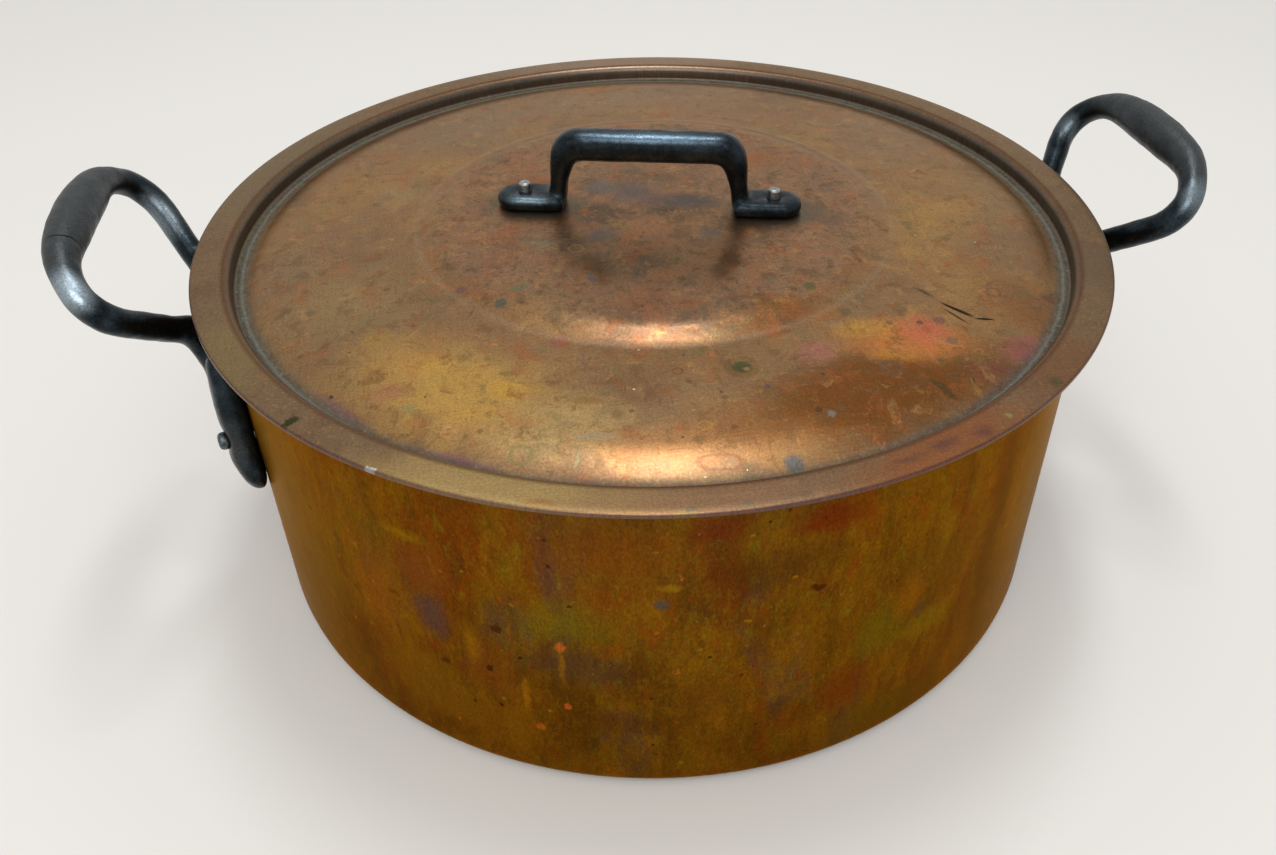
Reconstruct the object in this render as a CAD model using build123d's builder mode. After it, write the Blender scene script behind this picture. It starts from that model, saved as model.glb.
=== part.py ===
from build123d import *
import math
import os

# A low copper pot with two iron side handles and a lid, built piece by piece, in millimetres.
# The origin is the middle of the flat base where the pot stands. +X points to the right handle, +Z is up.

# Pot: one copper shell with a flat base, tinned inside
pot_outer_radius = 140.0
pot_height = 117.0
pot_wall = 2.0
base_corner_radius = 6.5
rim_edge_round = 0.4
pot_tin = 0.2

# Lid: one copper sheet; its brim lies on the pot's rim and its skirt drops inside the pot
lid_sheet = 1.5
lid_tin = 0.2
brim_overhang = 7.5
brim_edge_round = 0.4
skirt_clearance = 0.5
groove_depth = 5.5
groove_floor_width = 3.8
groove_corner_bend = 1.0
groove_dome_bend = 3.0
bank_width = 8.0
bank_height = 3.4
dome_bend = 20.0
dome_rise = 2.2
boss_radius = 70.0
boss_step_width = 8.0
boss_step_height = 3.0
boss_bend = 6.0

# Side handles: a cast iron loop with two pads, splayed along the wall
pad_thickness = 7.2
pad_edge_round = 4.2
pad_top_side = 27.5
pad_top_drop = 23.0
pad_top_radius = 5.0
pad_end_side = 36.5
pad_end_drop = 57.0
pad_end_radius = 8.5
loop_foot_radius = 3.3
loop_leg_radius = 4.1
shoulder_half_width = 5.2
shoulder_half_height = 4.8
grip_half_width = 6.0
grip_half_height = 5.4
# The loop's corners: out from the pot's wall, to the side, and up from the pot's rim
loop_foot = (0.6, 33.0, -39.2)
loop_kink = (5.9, 11.7, -20.9)
loop_corner = (29.7, 43.6, 7.8)
loop_shoulder = (37.5, 26.0, 17.5)
loop_middle = (38.4, 0.0, 18.6)
kink_bend = 13.8
corner_bend = 11.0
shoulder_bend = 22.0
middle_bend = 180.0

# Side rivets: a flat head inside the pot, a shank, and a plain end outside the pad
side_rivet_side = 34.6
side_rivet_drop = 45.2
side_rivet_radius = 2.3
side_head_radius = 7.0
side_head_thickness = 1.8
side_stub = 3.4

# Lid handle: a cast iron bow on two feet, turned a little from the side handles' line
lid_turn = -13.7
lid_handle_shift = -1.8
bow_top = 26.6
bow_bar_height = 8.3
bow_depth = 8.4
bow_leg_thickness = 5.2
bow_foot_reach = 33.5
bow_top_reach = 29.9
bow_outer_corner = 8.0
bow_inner_corner = 2.8
bow_edge_round = 2.3
foot_reach = 50.2
foot_width = 13.4
foot_thickness = 4.6
foot_edge_round = 1.3

# Lid rivets: a flat head under the lid, a shank, and a plain end above the foot
lid_rivet_reach = 41.2
lid_rivet_radius = 2.0
lid_head_radius = 5.5
lid_head_thickness = 1.5
lid_stub = 3.3

rivet_end_chamfer = 0.5

# How far a blank or a cut runs past the face it crosses, and how closely an edge's size and place are matched
through = 30.0
match = 0.01

# Heights and radii that follow from the sizes above
inner_radius = pot_outer_radius - pot_wall
brim_radius = pot_outer_radius + brim_overhang
brim_top = pot_height + lid_sheet
skirt_outer_radius = inner_radius - pot_tin - skirt_clearance
skirt_inner_radius = skirt_outer_radius - lid_sheet
brim_bend = lid_sheet + 0.8 * skirt_clearance
groove_z = brim_top - groove_depth
groove_inner_radius = skirt_inner_radius - groove_floor_width
bank_radius = groove_inner_radius - bank_width
bank_z = groove_z + bank_height
boss_foot_radius = boss_radius + boss_step_width
boss_foot_z = bank_z + dome_rise
boss_z = boss_foot_z + boss_step_height


def pot_profile():
    """The pot's outer line, from the middle of the base up to the rim."""
    return FilletPolyline(
        (0, 0), (pot_outer_radius, 0), (pot_outer_radius, pot_height), radius=base_corner_radius
    )


def lid_profile():
    """The lid's upper line, from the brim's edge in to the middle of the boss."""
    return FilletPolyline(
        (brim_radius, brim_top),
        (skirt_inner_radius, brim_top),
        (skirt_inner_radius, groove_z),
        (groove_inner_radius, groove_z),
        (bank_radius, bank_z),
        (boss_foot_radius, boss_foot_z),
        (boss_radius, boss_z),
        (0, boss_z),
        radius=[brim_bend, groove_corner_bend, groove_dome_bend, dome_bend, boss_bend, boss_bend],
    )


def sheet(profile, thickness):
    """A round shell of even thickness with the given profile as its outer face."""
    with BuildPart() as shell:
        with BuildSketch(Plane.XZ):
            with BuildLine():
                profile()
                offset(amount=thickness, side=Side.LEFT)
            make_face()
        revolve(axis=Axis.Z)
    return shell.part


def round_edges_at(part, radius, height):
    """The circles of a revolved part that have this radius and this height."""
    circles = part.edges().filter_by(GeomType.CIRCLE)
    return circles.filter_by(lambda e: abs(e.radius - radius) < match and abs(e.center().Z - height) < match)


def side_rivet_plane(angle):
    """A plane at the pot's axis, at a side rivet's height, that faces out through the rivet."""
    out = (math.cos(math.radians(angle)), math.sin(math.radians(angle)), 0)
    return Plane(origin=(0, 0, pot_height - side_rivet_drop), z_dir=out)


def across_lid(reach):
    """The place on the lid at this reach along the lid handle, from the handle's middle."""
    turn = math.radians(lid_turn)
    return ((lid_handle_shift + reach) * math.cos(turn), (lid_handle_shift + reach) * math.sin(turn))


def mirrored(point):
    """The same point on the other side of the side handle's middle."""
    return (point[0], -point[1], point[2])


os.makedirs("parts", exist_ok=True)

rivet_angle = math.degrees(math.asin(side_rivet_side / pot_outer_radius))
right_angles = [rivet_angle, -rivet_angle]
left_angles = [180 + rivet_angle, 180 - rivet_angle]
lid_rivet_centres = [across_lid(-lid_rivet_reach), across_lid(lid_rivet_reach)]

# Pot body: the copper shell, pierced for the four side rivets
with BuildPart() as pot_body:
    add(sheet(pot_profile, pot_wall))
    rim_edges = round_edges_at(pot_body, pot_outer_radius, pot_height)
    fillet(rim_edges, rim_edge_round)
    for angle in right_angles + left_angles:
        with BuildSketch(side_rivet_plane(angle)):
            Circle(side_rivet_radius)
        extrude(amount=pot_outer_radius + pot_wall, mode=Mode.SUBTRACT)
pot_body.part.label = "pot_body"
export_step(pot_body.part, "parts/pot_body.step")

# Pot lining: the wiped tin coat on the whole inside of the shell
with BuildPart() as pot_lining:
    add(sheet(pot_profile, pot_wall + pot_tin))
    add(sheet(pot_profile, pot_wall), mode=Mode.SUBTRACT)
    for angle in right_angles + left_angles:
        with BuildSketch(side_rivet_plane(angle)):
            Circle(side_rivet_radius)
        extrude(amount=pot_outer_radius, mode=Mode.SUBTRACT)
pot_lining.part.label = "pot_tin_lining"
export_step(pot_lining.part, "parts/pot_tin_lining.step")

# Pads of the right side handle: tapered tabs whose backs follow the pot's wall
pad_face_radius = pot_outer_radius + pad_thickness
with BuildPart() as pads:
    with BuildSketch(Plane.YZ.offset(inner_radius - through)):
        with Locations((pad_top_side, pot_height - pad_top_drop)):
            Circle(pad_top_radius)
        with Locations((pad_end_side, pot_height - pad_end_drop)):
            Circle(pad_end_radius)
        make_hull()
    extrude(amount=2 * through)
    Cylinder(
        pad_face_radius, pot_height, align=(Align.CENTER, Align.CENTER, Align.MIN), mode=Mode.INTERSECT
    )
    outer_faces = pads.faces().filter_by(
        lambda f: f.geom_type == GeomType.CYLINDER and abs(f.radius - pad_face_radius) < match
    )
    fillet(outer_faces.edges(), pad_edge_round)
    mirror(about=Plane.XZ)

# Loop of the right side handle: swept run by run, thin at the pads and thickest in the middle of the grip
loop_side = [loop_foot, loop_kink, loop_corner, loop_shoulder]
loop_points = loop_side + [loop_middle] + [mirrored(point) for point in reversed(loop_side)]
side_bends = [kink_bend, corner_bend, shoulder_bend]
loop_bends = side_bends + [middle_bend] + side_bends[::-1]
with BuildLine() as loop_path:
    FilletPolyline(
        *[(pot_outer_radius + x, y, pot_height + z) for x, y, z in loop_points],
        radius=loop_bends,
    )
loop_runs = loop_path.wire().order_edges()
foot_size = (loop_foot_radius, loop_foot_radius)
leg_size = (loop_leg_radius, loop_leg_radius)
shoulder_size = (shoulder_half_width, shoulder_half_height)
grip_size = (grip_half_width, grip_half_height)
half_sizes = [foot_size, foot_size, leg_size, leg_size, leg_size, leg_size, shoulder_size, grip_size]
run_sizes = half_sizes + half_sizes[::-1]
rise = Vector(*loop_middle) - Vector(*loop_corner)
loop_normal = Vector(-rise.Z, 0, rise.X).normalized()

with BuildPart() as side_handle_right:
    add(pads.part)
    for run, start_size, end_size in zip(loop_runs, run_sizes[:-1], run_sizes[1:]):
        for end, size in ((0, start_size), (1, end_size)):
            along = run % end
            with BuildSketch(Plane(origin=run @ end, x_dir=along.cross(loop_normal), z_dir=along)):
                Ellipse(*size)
        sweep(path=run, multisection=True)
    Cylinder(
        pot_outer_radius, pot_height, align=(Align.CENTER, Align.CENTER, Align.MIN), mode=Mode.SUBTRACT
    )
    for angle in right_angles:
        with BuildSketch(side_rivet_plane(angle)):
            Circle(side_rivet_radius)
        extrude(amount=pad_face_radius + through, mode=Mode.SUBTRACT)
side_handle_right.part.label = "side_handle_right"
export_step(side_handle_right.part, "parts/side_handle_right.step")

# Left side handle: the same casting, half a turn round the pot
with BuildPart() as side_handle_left:
    with Locations(Location((0, 0, 0), (0, 0, 180))):
        add(side_handle_right.part)
side_handle_left.part.label = "side_handle_left"
export_step(side_handle_left.part, "parts/side_handle_left.step")

# Side rivets: each a flat head on the lining, a shank through wall and pad, and a plain chamfered end
lining_radius = inner_radius - pot_tin
side_rivet_angles = {
    "side_rivet_right_back": right_angles[0],
    "side_rivet_right_front": right_angles[1],
    "side_rivet_left_front": left_angles[0],
    "side_rivet_left_back": left_angles[1],
}
for rivet_name, angle in side_rivet_angles.items():
    plane = side_rivet_plane(angle)
    with BuildPart() as side_rivet:
        with BuildSketch(plane.offset(lining_radius - side_head_thickness)):
            Circle(side_head_radius)
        extrude(amount=2 * side_head_thickness)
        Cylinder(
            lining_radius, pot_height, align=(Align.CENTER, Align.CENTER, Align.MIN), mode=Mode.INTERSECT
        )
        with BuildSketch(plane.offset(lining_radius - side_head_thickness)):
            Circle(side_rivet_radius)
        extrude(amount=side_head_thickness + pot_tin + pot_wall + pad_thickness + side_stub)
        tip = side_rivet.faces().sort_by(Axis(plane.origin, plane.z_dir))[-1]
        chamfer(tip.edges(), rivet_end_chamfer)
    side_rivet.part.label = rivet_name
    export_step(side_rivet.part, f"parts/{rivet_name}.step")

# Lid disc: brim, skirt, groove, dome and boss pressed in one copper sheet
with BuildPart() as lid_disc:
    add(sheet(lid_profile, lid_sheet))
    brim_edges = round_edges_at(lid_disc, brim_radius, brim_top)
    brim_edges += round_edges_at(lid_disc, brim_radius, pot_height)
    fillet(brim_edges, brim_edge_round)
    with BuildSketch(Plane.XY.offset(boss_z)):
        with Locations(*lid_rivet_centres):
            Circle(lid_rivet_radius)
    extrude(amount=-2 * lid_sheet, mode=Mode.SUBTRACT)
lid_disc.part.label = "lid_disc"
export_step(lid_disc.part, "parts/lid_disc.step")

# Lid lining: the wiped tin coat under the lid, as far out as the skirt
with BuildPart() as lid_lining:
    add(sheet(lid_profile, lid_sheet + lid_tin))
    add(sheet(lid_profile, lid_sheet), mode=Mode.SUBTRACT)
    Cylinder(
        skirt_outer_radius, 2 * pot_height, align=(Align.CENTER, Align.CENTER, Align.MIN),
        mode=Mode.INTERSECT,
    )
    with BuildSketch(Plane.XY.offset(boss_z)):
        with Locations(*lid_rivet_centres):
            Circle(lid_rivet_radius)
    extrude(amount=-2 * (lid_sheet + lid_tin), mode=Mode.SUBTRACT)
lid_lining.part.label = "lid_tin_lining"
export_step(lid_lining.part, "parts/lid_tin_lining.step")

# Lid handle: a bow with rounded edges that stands on two round-ended feet on the boss
turn = math.radians(lid_turn)
along_bow = (math.cos(turn), math.sin(turn), 0)
bow_origin = (*across_lid(0), boss_z)
bow_plane = Plane(origin=bow_origin, x_dir=along_bow, z_dir=(math.sin(turn), -math.cos(turn), 0))
foot_plane = Plane(origin=bow_origin, x_dir=along_bow, z_dir=(0, 0, 1))
foot_inner_reach = bow_foot_reach - bow_leg_thickness
foot_round_centre = foot_reach - foot_width / 2

with BuildPart() as bow:
    with BuildSketch(bow_plane):
        with BuildLine():
            FilletPolyline(
                (-bow_foot_reach, 0),
                (-bow_top_reach, bow_top),
                (bow_top_reach, bow_top),
                (bow_foot_reach, 0),
                radius=bow_outer_corner,
            )
            Line((bow_foot_reach, 0), (-bow_foot_reach, 0))
        make_face()
        with BuildLine():
            FilletPolyline(
                (-foot_inner_reach, 0),
                (bow_leg_thickness - bow_top_reach, bow_top - bow_bar_height),
                (bow_top_reach - bow_leg_thickness, bow_top - bow_bar_height),
                (foot_inner_reach, 0),
                radius=bow_inner_corner,
            )
            Line((foot_inner_reach, 0), (-foot_inner_reach, 0))
        make_face(mode=Mode.SUBTRACT)
    extrude(amount=bow_depth / 2, both=True)
    bow_faces = bow.faces().sort_by(Axis(bow_plane.origin, bow_plane.z_dir))
    face_edges = bow_faces[0].edges() + bow_faces[-1].edges()
    fillet(face_edges.filter_by(lambda e: e.center().Z > boss_z + match), bow_edge_round)

with BuildPart() as lid_handle:
    with BuildSketch(foot_plane):
        for side in (-1, 1):
            with Locations((side * foot_round_centre, 0)):
                Circle(foot_width / 2)
            with Locations((side * (foot_inner_reach + foot_round_centre) / 2, 0)):
                Rectangle(foot_round_centre - foot_inner_reach, foot_width)
    extrude(amount=foot_thickness)
    fillet(lid_handle.edges().group_by(Axis.Z)[-1], foot_edge_round)
    add(bow.part)
    with BuildSketch(foot_plane):
        with Locations((-lid_rivet_reach, 0), (lid_rivet_reach, 0)):
            Circle(lid_rivet_radius)
    extrude(amount=bow_top, mode=Mode.SUBTRACT)
lid_handle.part.label = "lid_handle"
export_step(lid_handle.part, "parts/lid_handle.step")

# Lid rivets: each a flat head under the lid, a shank through lid and foot, and a plain chamfered end
lid_underside = boss_z - lid_sheet - lid_tin
for rivet_name, centre in zip(("lid_rivet_left", "lid_rivet_right"), lid_rivet_centres):
    with BuildPart() as lid_rivet:
        with BuildSketch(Plane.XY.offset(lid_underside - lid_head_thickness)):
            with Locations(centre):
                Circle(lid_head_radius)
        extrude(amount=lid_head_thickness)
        with BuildSketch(Plane.XY.offset(lid_underside)):
            with Locations(centre):
                Circle(lid_rivet_radius)
        extrude(amount=lid_tin + lid_sheet + foot_thickness + lid_stub)
        chamfer(lid_rivet.edges().group_by(Axis.Z)[-1], rivet_end_chamfer)
    lid_rivet.part.label = rivet_name
    export_step(lid_rivet.part, f"parts/{rivet_name}.step")
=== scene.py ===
import math

import bmesh
import bpy
from mathutils import Matrix, Vector


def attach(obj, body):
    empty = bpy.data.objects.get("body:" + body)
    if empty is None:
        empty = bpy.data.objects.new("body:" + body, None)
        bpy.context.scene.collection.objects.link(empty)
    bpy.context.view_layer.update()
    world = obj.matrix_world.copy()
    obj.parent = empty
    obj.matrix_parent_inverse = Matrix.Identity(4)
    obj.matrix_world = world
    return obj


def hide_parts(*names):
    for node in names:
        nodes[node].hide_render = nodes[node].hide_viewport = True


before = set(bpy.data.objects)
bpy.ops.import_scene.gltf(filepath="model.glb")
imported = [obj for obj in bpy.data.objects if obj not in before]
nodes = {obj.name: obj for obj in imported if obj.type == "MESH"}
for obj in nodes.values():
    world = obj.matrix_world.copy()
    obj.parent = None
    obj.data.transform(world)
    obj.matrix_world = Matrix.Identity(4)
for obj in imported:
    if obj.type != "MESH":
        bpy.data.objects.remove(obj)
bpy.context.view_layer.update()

# Camera: it stands in front of the pot, a little to its left and well above the lid, and looks down at it.
# Place, turn and lens were fitted to the rim, the base line and the wall's sides of a 28 cm pot.
camera_place = Vector((-0.0540, -0.3332, 0.2943))
camera_turn = 0.18657
camera_drop = 0.668
camera_roll = 0.004
sensor_width = 36
lens_length = 31.5
side_shift = -0.0329

camera_data = bpy.data.cameras.new("camera")
camera_data.sensor_width = sensor_width
camera_data.lens = lens_length
camera_data.shift_x = side_shift
camera_data.clip_start = 0.01
camera = bpy.data.objects.new("camera", camera_data)
camera.matrix_world = (
    Matrix.Translation(camera_place)
    @ Matrix.Rotation(-camera_turn, 4, "Z")
    @ Matrix.Rotation(math.pi / 2 - camera_drop, 4, "X")
    @ Matrix.Rotation(camera_roll, 4, "Z")
)
bpy.context.scene.collection.objects.link(camera)
bpy.context.scene.camera = camera

# Pot body: one sheet of copper, 2 mm thick, spun over a form into a straight wall with a small round corner.
# The flat base, the wall and the rim are one piece, and years of use have left the wall faintly uneven.
mm = 0.001
ring_points = 320
ring_gap = 2.6 * mm
hub_radius = 4 * mm
pot_radius = 140 * mm
pot_height = 117 * mm
pot_sheet = 2 * mm
base_bend = 6.5 * mm
bend_steps = 6
rim_round = 0.4 * mm
rim_steps = 3
sheet_unevenness = 0.16 * mm
sheet_wave = 45 * mm
only_inwards, only_outwards = 1, 0
shortest_cut_run = 1.5 * ring_gap
same_place = 0.01 * mm


def select_ring(piece, radius, height):
    """Selects only the edges that run round the piece at this radius and height."""
    bpy.ops.mesh.select_all(action="DESELECT")
    mesh = bmesh.from_edit_mesh(piece.data)
    for edge in mesh.edges:
        if all(
            abs(math.hypot(v.co.x, v.co.y) - radius) < same_place and abs(v.co.z - height) < same_place
            for v in edge.verts
        ):
            edge.select_set(True)
    bmesh.update_edit_mesh(piece.data)


def turned_sheet(name, line, bends, faces_up):
    """An open sheet turned round Z: a disc whose edge is extruded along the line, bevelled at the line's
    corners to their bends, then cut into rings so that it can be uneven."""
    bpy.ops.object.select_all(action="DESELECT")
    bpy.ops.mesh.primitive_circle_add(
        vertices=ring_points, radius=hub_radius, fill_type="TRIFAN", location=(0, 0, line[0][1])
    )
    piece = bpy.context.object
    piece.name = piece.data.name = name
    bpy.ops.object.transform_apply(location=True, rotation=True, scale=True)
    bpy.ops.object.mode_set(mode="EDIT")
    bpy.ops.mesh.select_mode(type="EDGE")
    radius, height = hub_radius, line[0][1]
    select_ring(piece, radius, height)
    for next_radius, next_height in line[1:]:
        bpy.ops.mesh.extrude_edges_move(TRANSFORM_OT_translate={"value": (0, 0, next_height - height)})
        bpy.ops.transform.resize(value=(next_radius / radius, next_radius / radius, 1))
        radius, height = next_radius, next_height
    for before, corner, after, bend in zip(line, line[1:], line[2:], bends):
        turn = (Vector(corner) - Vector(before)).angle(Vector(after) - Vector(corner))
        select_ring(piece, *corner)
        bpy.ops.mesh.bevel(
            offset=bend * math.tan(turn / 2), offset_type="OFFSET", segments=bend_steps, profile=0.5
        )
    cut_into_rings(piece)
    bpy.ops.mesh.select_all(action="SELECT")
    bpy.ops.mesh.normals_make_consistent(inside=False)
    bpy.ops.object.mode_set(mode="OBJECT")
    if (piece.data.polygons[0].normal.z > 0) != faces_up:
        piece.data.flip_normals()
    return piece


def cut_into_rings(piece):
    """Subdivides every long run of the sheet, so that its rings lie about a ring gap apart."""
    lengths = set()
    for edge in bmesh.from_edit_mesh(piece.data).edges:
        if not any(v.co.xy.length < hub_radius / 2 for v in edge.verts):
            lengths.add(round(edge.calc_length(), 5))
    for length in sorted(lengths, reverse=True):
        if length < shortest_cut_run:
            break
        bpy.ops.mesh.select_all(action="DESELECT")
        mesh = bmesh.from_edit_mesh(piece.data)
        for edge in mesh.edges:
            if abs(edge.calc_length() - length) < same_place:
                edge.select_set(True)
        bmesh.update_edit_mesh(piece.data)
        bpy.ops.mesh.subdivide(number_cuts=round(length / ring_gap) - 1)


def finish_sheet(piece, thickness, unevenness_level):
    """Dents the sheet very slightly, gives it its thickness, rounds its cut edge and smooths its faces."""
    clouds = cloud_texture(piece.name + "_unevenness", sheet_wave, finer_layers=1)
    cut_edge = math.radians(60)
    steps = [
        ("DISPLACE", dict(texture=clouds, strength=sheet_unevenness, mid_level=unevenness_level)),
        ("SOLIDIFY", dict(thickness=thickness, offset=-1, use_even_offset=True)),
        ("BEVEL", dict(width=rim_round, segments=rim_steps, limit_method="ANGLE", angle_limit=cut_edge)),
    ]
    apply_steps(piece, steps)
    shade(piece, degrees=40)


def cloud_texture(name, size, finer_layers):
    """Soft noise of this size, for a displacement."""
    clouds = bpy.data.textures.new(name, "CLOUDS")
    clouds.noise_scale = size
    clouds.noise_depth = finer_layers
    return clouds


def select_only(piece):
    """Selects this piece alone and makes it the active one."""
    bpy.ops.object.select_all(action="DESELECT")
    piece.select_set(True)
    bpy.context.view_layer.objects.active = piece


def apply_steps(piece, steps):
    """Adds each modifier with its settings and applies it before the next one."""
    select_only(piece)
    for kind, settings in steps:
        modifier = piece.modifiers.new(kind.lower(), kind)
        for setting, value in settings.items():
            setattr(modifier, setting, value)
        bpy.ops.object.modifier_apply(modifier=modifier.name)


def shade(piece, degrees):
    """Smooth shading that stays sharp at corners above this angle."""
    select_only(piece)
    bpy.ops.object.shade_smooth_by_angle(angle=math.radians(degrees))


pot = turned_sheet(
    "copper_pot",
    [(0, 0), (pot_radius, 0), (pot_radius, pot_height)],
    [base_bend],
    faces_up=False,
)
finish_sheet(pot, pot_sheet, unevenness_level=only_inwards)


def linear(colour):
    """An sRGB hex colour as linear red, green, blue and alpha."""
    parts = [int(colour[i : i + 2], 16) / 255 for i in (1, 3, 5)]
    return [p / 12.92 if p <= 0.04045 else ((p + 0.055) / 1.055) ** 2.4 for p in parts] + [1]


def new_material(name):
    """An empty node material that holds only its shader, whose surface is linked to the output."""
    material = bpy.data.materials.new(name)
    material.use_nodes = True
    material.node_tree.nodes.clear()
    shader = add_node(material, "ShaderNodeBsdfPrincipled")
    add_node(material, "ShaderNodeOutputMaterial", {"Surface": shader.outputs["BSDF"]})
    return material, shader


def add_node(material, kind, inputs=None, **settings):
    """One node of this kind in the material, with its settings, and with its inputs set or linked."""
    node = material.node_tree.nodes.new(kind)
    for name, value in settings.items():
        setattr(node, name, value)
    fill_inputs(material, node, inputs or {})
    return node


def fill_inputs(material, node, inputs):
    """Links a node's inputs to other nodes' outputs, or sets them to a number or colour."""
    for name, value in inputs.items():
        if isinstance(value, bpy.types.NodeSocket):
            material.node_tree.links.new(value, node.inputs[name])
        else:
            node.inputs[name].default_value = value


# A hollow mark is a ring. Its line lies at this share of the mark's half size, and is this wide to each side.
ring_line = 0.8
ring_line_half_width = 0.22


def lay_marks(material, colour, place, marks, hollow=False):
    """Lays marks with soft edges over a colour. Each has a middle and three half sizes in millimetres, a turn
    about Z in degrees, a colour, how much it covers, and how much of it is soft edge."""
    limit = ring_line_half_width if hollow else 1
    for middle, halves, turn, hue, cover, soft in marks:
        centre = [part * mm for part in middle]
        spot = place
        if turn:
            spot = add_node(
                material,
                "ShaderNodeVectorRotate",
                {"Vector": place, "Center": centre, "Angle": -math.radians(turn)},
                rotation_type="Z_AXIS",
            ).outputs["Vector"]
        shrink = [1 / (half * mm) for half in halves]
        shift = [-part / half for part, half in zip(middle, halves)]
        local = add_node(
            material, "ShaderNodeVectorMath", {0: spot, 1: shrink, 2: shift}, operation="MULTIPLY_ADD"
        )
        reach = add_node(
            material, "ShaderNodeVectorMath", {0: local.outputs["Vector"]}, operation="LENGTH"
        ).outputs["Value"]
        if hollow:
            off_line = add_node(material, "ShaderNodeMath", {0: reach, 1: ring_line}, operation="SUBTRACT")
            reach = add_node(
                material, "ShaderNodeMath", {0: off_line.outputs["Value"]}, operation="ABSOLUTE"
            ).outputs["Value"]
        mask = add_node(
            material,
            "ShaderNodeMapRange",
            {"Value": reach, "From Min": limit, "From Max": limit * (1 - soft), "To Max": cover},
            interpolation_type="SMOOTHSTEP",
        )
        colour = add_node(
            material,
            "ShaderNodeMix",
            {0: mask.outputs["Result"], 6: colour, 7: linear(hue)},
            data_type="RGBA",
        ).outputs[2]
    return colour


# The noise of one layer of clouds lies this far from that of the next, so that no two have the same shape.
cloud_step = 3.7


def lay_clouds(material, colour, place, clouds):
    """Lays noise clouds over a colour. Each has the size of its clouds in millimetres, where in the noise it
    starts and is full, a colour, and how much it covers."""
    for number, (size, start, full, hue, cover) in enumerate(clouds):
        noise = add_node(
            material,
            "ShaderNodeTexNoise",
            {
                "Vector": place,
                "W": cloud_step * number,
                "Scale": 1 / (size * mm),
                "Detail": 8,
                "Roughness": 0.66,
                "Distortion": 0.4,
            },
            noise_dimensions="4D",
        )
        mask = add_node(
            material,
            "ShaderNodeMapRange",
            {"Value": noise.outputs["Fac"], "From Min": start, "From Max": full, "To Max": cover},
            interpolation_type="SMOOTHSTEP",
        )
        colour = add_node(
            material,
            "ShaderNodeMix",
            {0: mask.outputs["Result"], 6: colour, 7: linear(hue)},
            data_type="RGBA",
        ).outputs[2]
    return colour


def scatter_dots(material, colour, place, dots):
    """Scatters dots over a colour, soft over the outer half of their radius. Each kind has the gap between
    its cells and its radius in millimetres, the share of cells that hold one, a colour, and how much it
    covers."""
    for gap, radius, share, hue, cover in dots:
        cells = add_node(material, "ShaderNodeTexVoronoi", {"Vector": place, "Scale": 1 / (gap * mm)})
        near = add_node(
            material,
            "ShaderNodeMapRange",
            {
                "Value": cells.outputs["Distance"],
                "From Min": radius / gap,
                "From Max": 0.5 * radius / gap,
                "To Max": cover,
            },
        )
        pick = add_node(material, "ShaderNodeSeparateColor", {"Color": cells.outputs["Color"]})
        chosen = add_node(
            material, "ShaderNodeMath", {0: pick.outputs["Red"], 1: share}, operation="LESS_THAN"
        )
        mask = add_node(
            material,
            "ShaderNodeMath",
            {0: near.outputs["Result"], 1: chosen.outputs["Value"]},
            operation="MULTIPLY",
        )
        colour = add_node(
            material,
            "ShaderNodeMix",
            {0: mask.outputs["Value"], 6: colour, 7: linear(hue)},
            data_type="RGBA",
        ).outputs[2]
    return colour


def stir(material, place, size, amount, flat=False):
    """A place moved about by noise of this size, by up to half this amount, both in millimetres. A flat one
    isn't moved along Z."""
    noise = add_node(
        material,
        "ShaderNodeTexNoise",
        {"Vector": place, "Scale": 1 / (size * mm), "Detail": 8, "Roughness": 0.7},
    )
    reach = (amount * mm, amount * mm, 0 if flat else amount * mm)
    moved = add_node(
        material,
        "ShaderNodeVectorMath",
        {0: noise.outputs["Color"], 1: reach, 2: place},
        operation="MULTIPLY_ADD",
    )
    return add_node(
        material,
        "ShaderNodeVectorMath",
        {0: moved.outputs["Vector"], 1: [part / 2 for part in reach]},
        operation="SUBTRACT",
    ).outputs["Vector"]


def grain_over(material, colour, place, size, stretch, depth):
    """Multiplies a colour by a fine grain of this size in millimetres. A stretch below one draws it out along
    that axis."""
    drawn_out = add_node(material, "ShaderNodeMapping", {"Vector": place, "Scale": stretch})
    noise = add_node(
        material,
        "ShaderNodeTexNoise",
        {"Vector": drawn_out.outputs["Vector"], "Scale": 1 / (size * mm), "Detail": 3, "Roughness": 0.6},
    )
    tone = add_node(
        material,
        "ShaderNodeMapRange",
        {
            "Value": noise.outputs["Fac"],
            "From Min": 0.35,
            "From Max": 0.65,
            "To Min": 1 - depth,
            "To Max": 1 + depth,
        },
    )
    return add_node(
        material,
        "ShaderNodeMix",
        {0: 1.0, 6: colour, 7: tone.outputs["Result"]},
        data_type="RGBA",
        blend_type="MULTIPLY",
    ).outputs[2]


# A long mark reaches this many millimetres into the wall and out of it, past the wall's bend.
mark_depth = 30


def on_wall(marks):
    """Marks on the wall, given by their angle round the pot and height, as marks in space. A mark as high as
    it is wide is a ball."""
    placed = []
    for angle, height, across, up, hue, cover, soft in marks:
        turn = math.radians(angle)
        x, y = pot_radius / mm * math.cos(turn), pot_radius / mm * math.sin(turn)
        halves = (across, up if across == up else mark_depth, up)
        placed.append(((x, y, height), halves, angle + 90, hue, cover, soft))
    return placed


def fine_relief(material, place, size, depth, strength, detail=3, roughness=0.6):
    """The surface's normal with a fine relief from noise of this size, as deep as this at full strength."""
    grain = add_node(
        material,
        "ShaderNodeTexNoise",
        {"Vector": place, "Scale": 1 / size, "Detail": detail, "Roughness": roughness},
    )
    relief = add_node(
        material, "ShaderNodeBump", {"Strength": strength, "Distance": depth, "Height": grain.outputs["Fac"]}
    )
    return relief.outputs["Normal"]


heat_cloud = 27.78 * mm
copper_grain = 1.111 * mm


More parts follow.
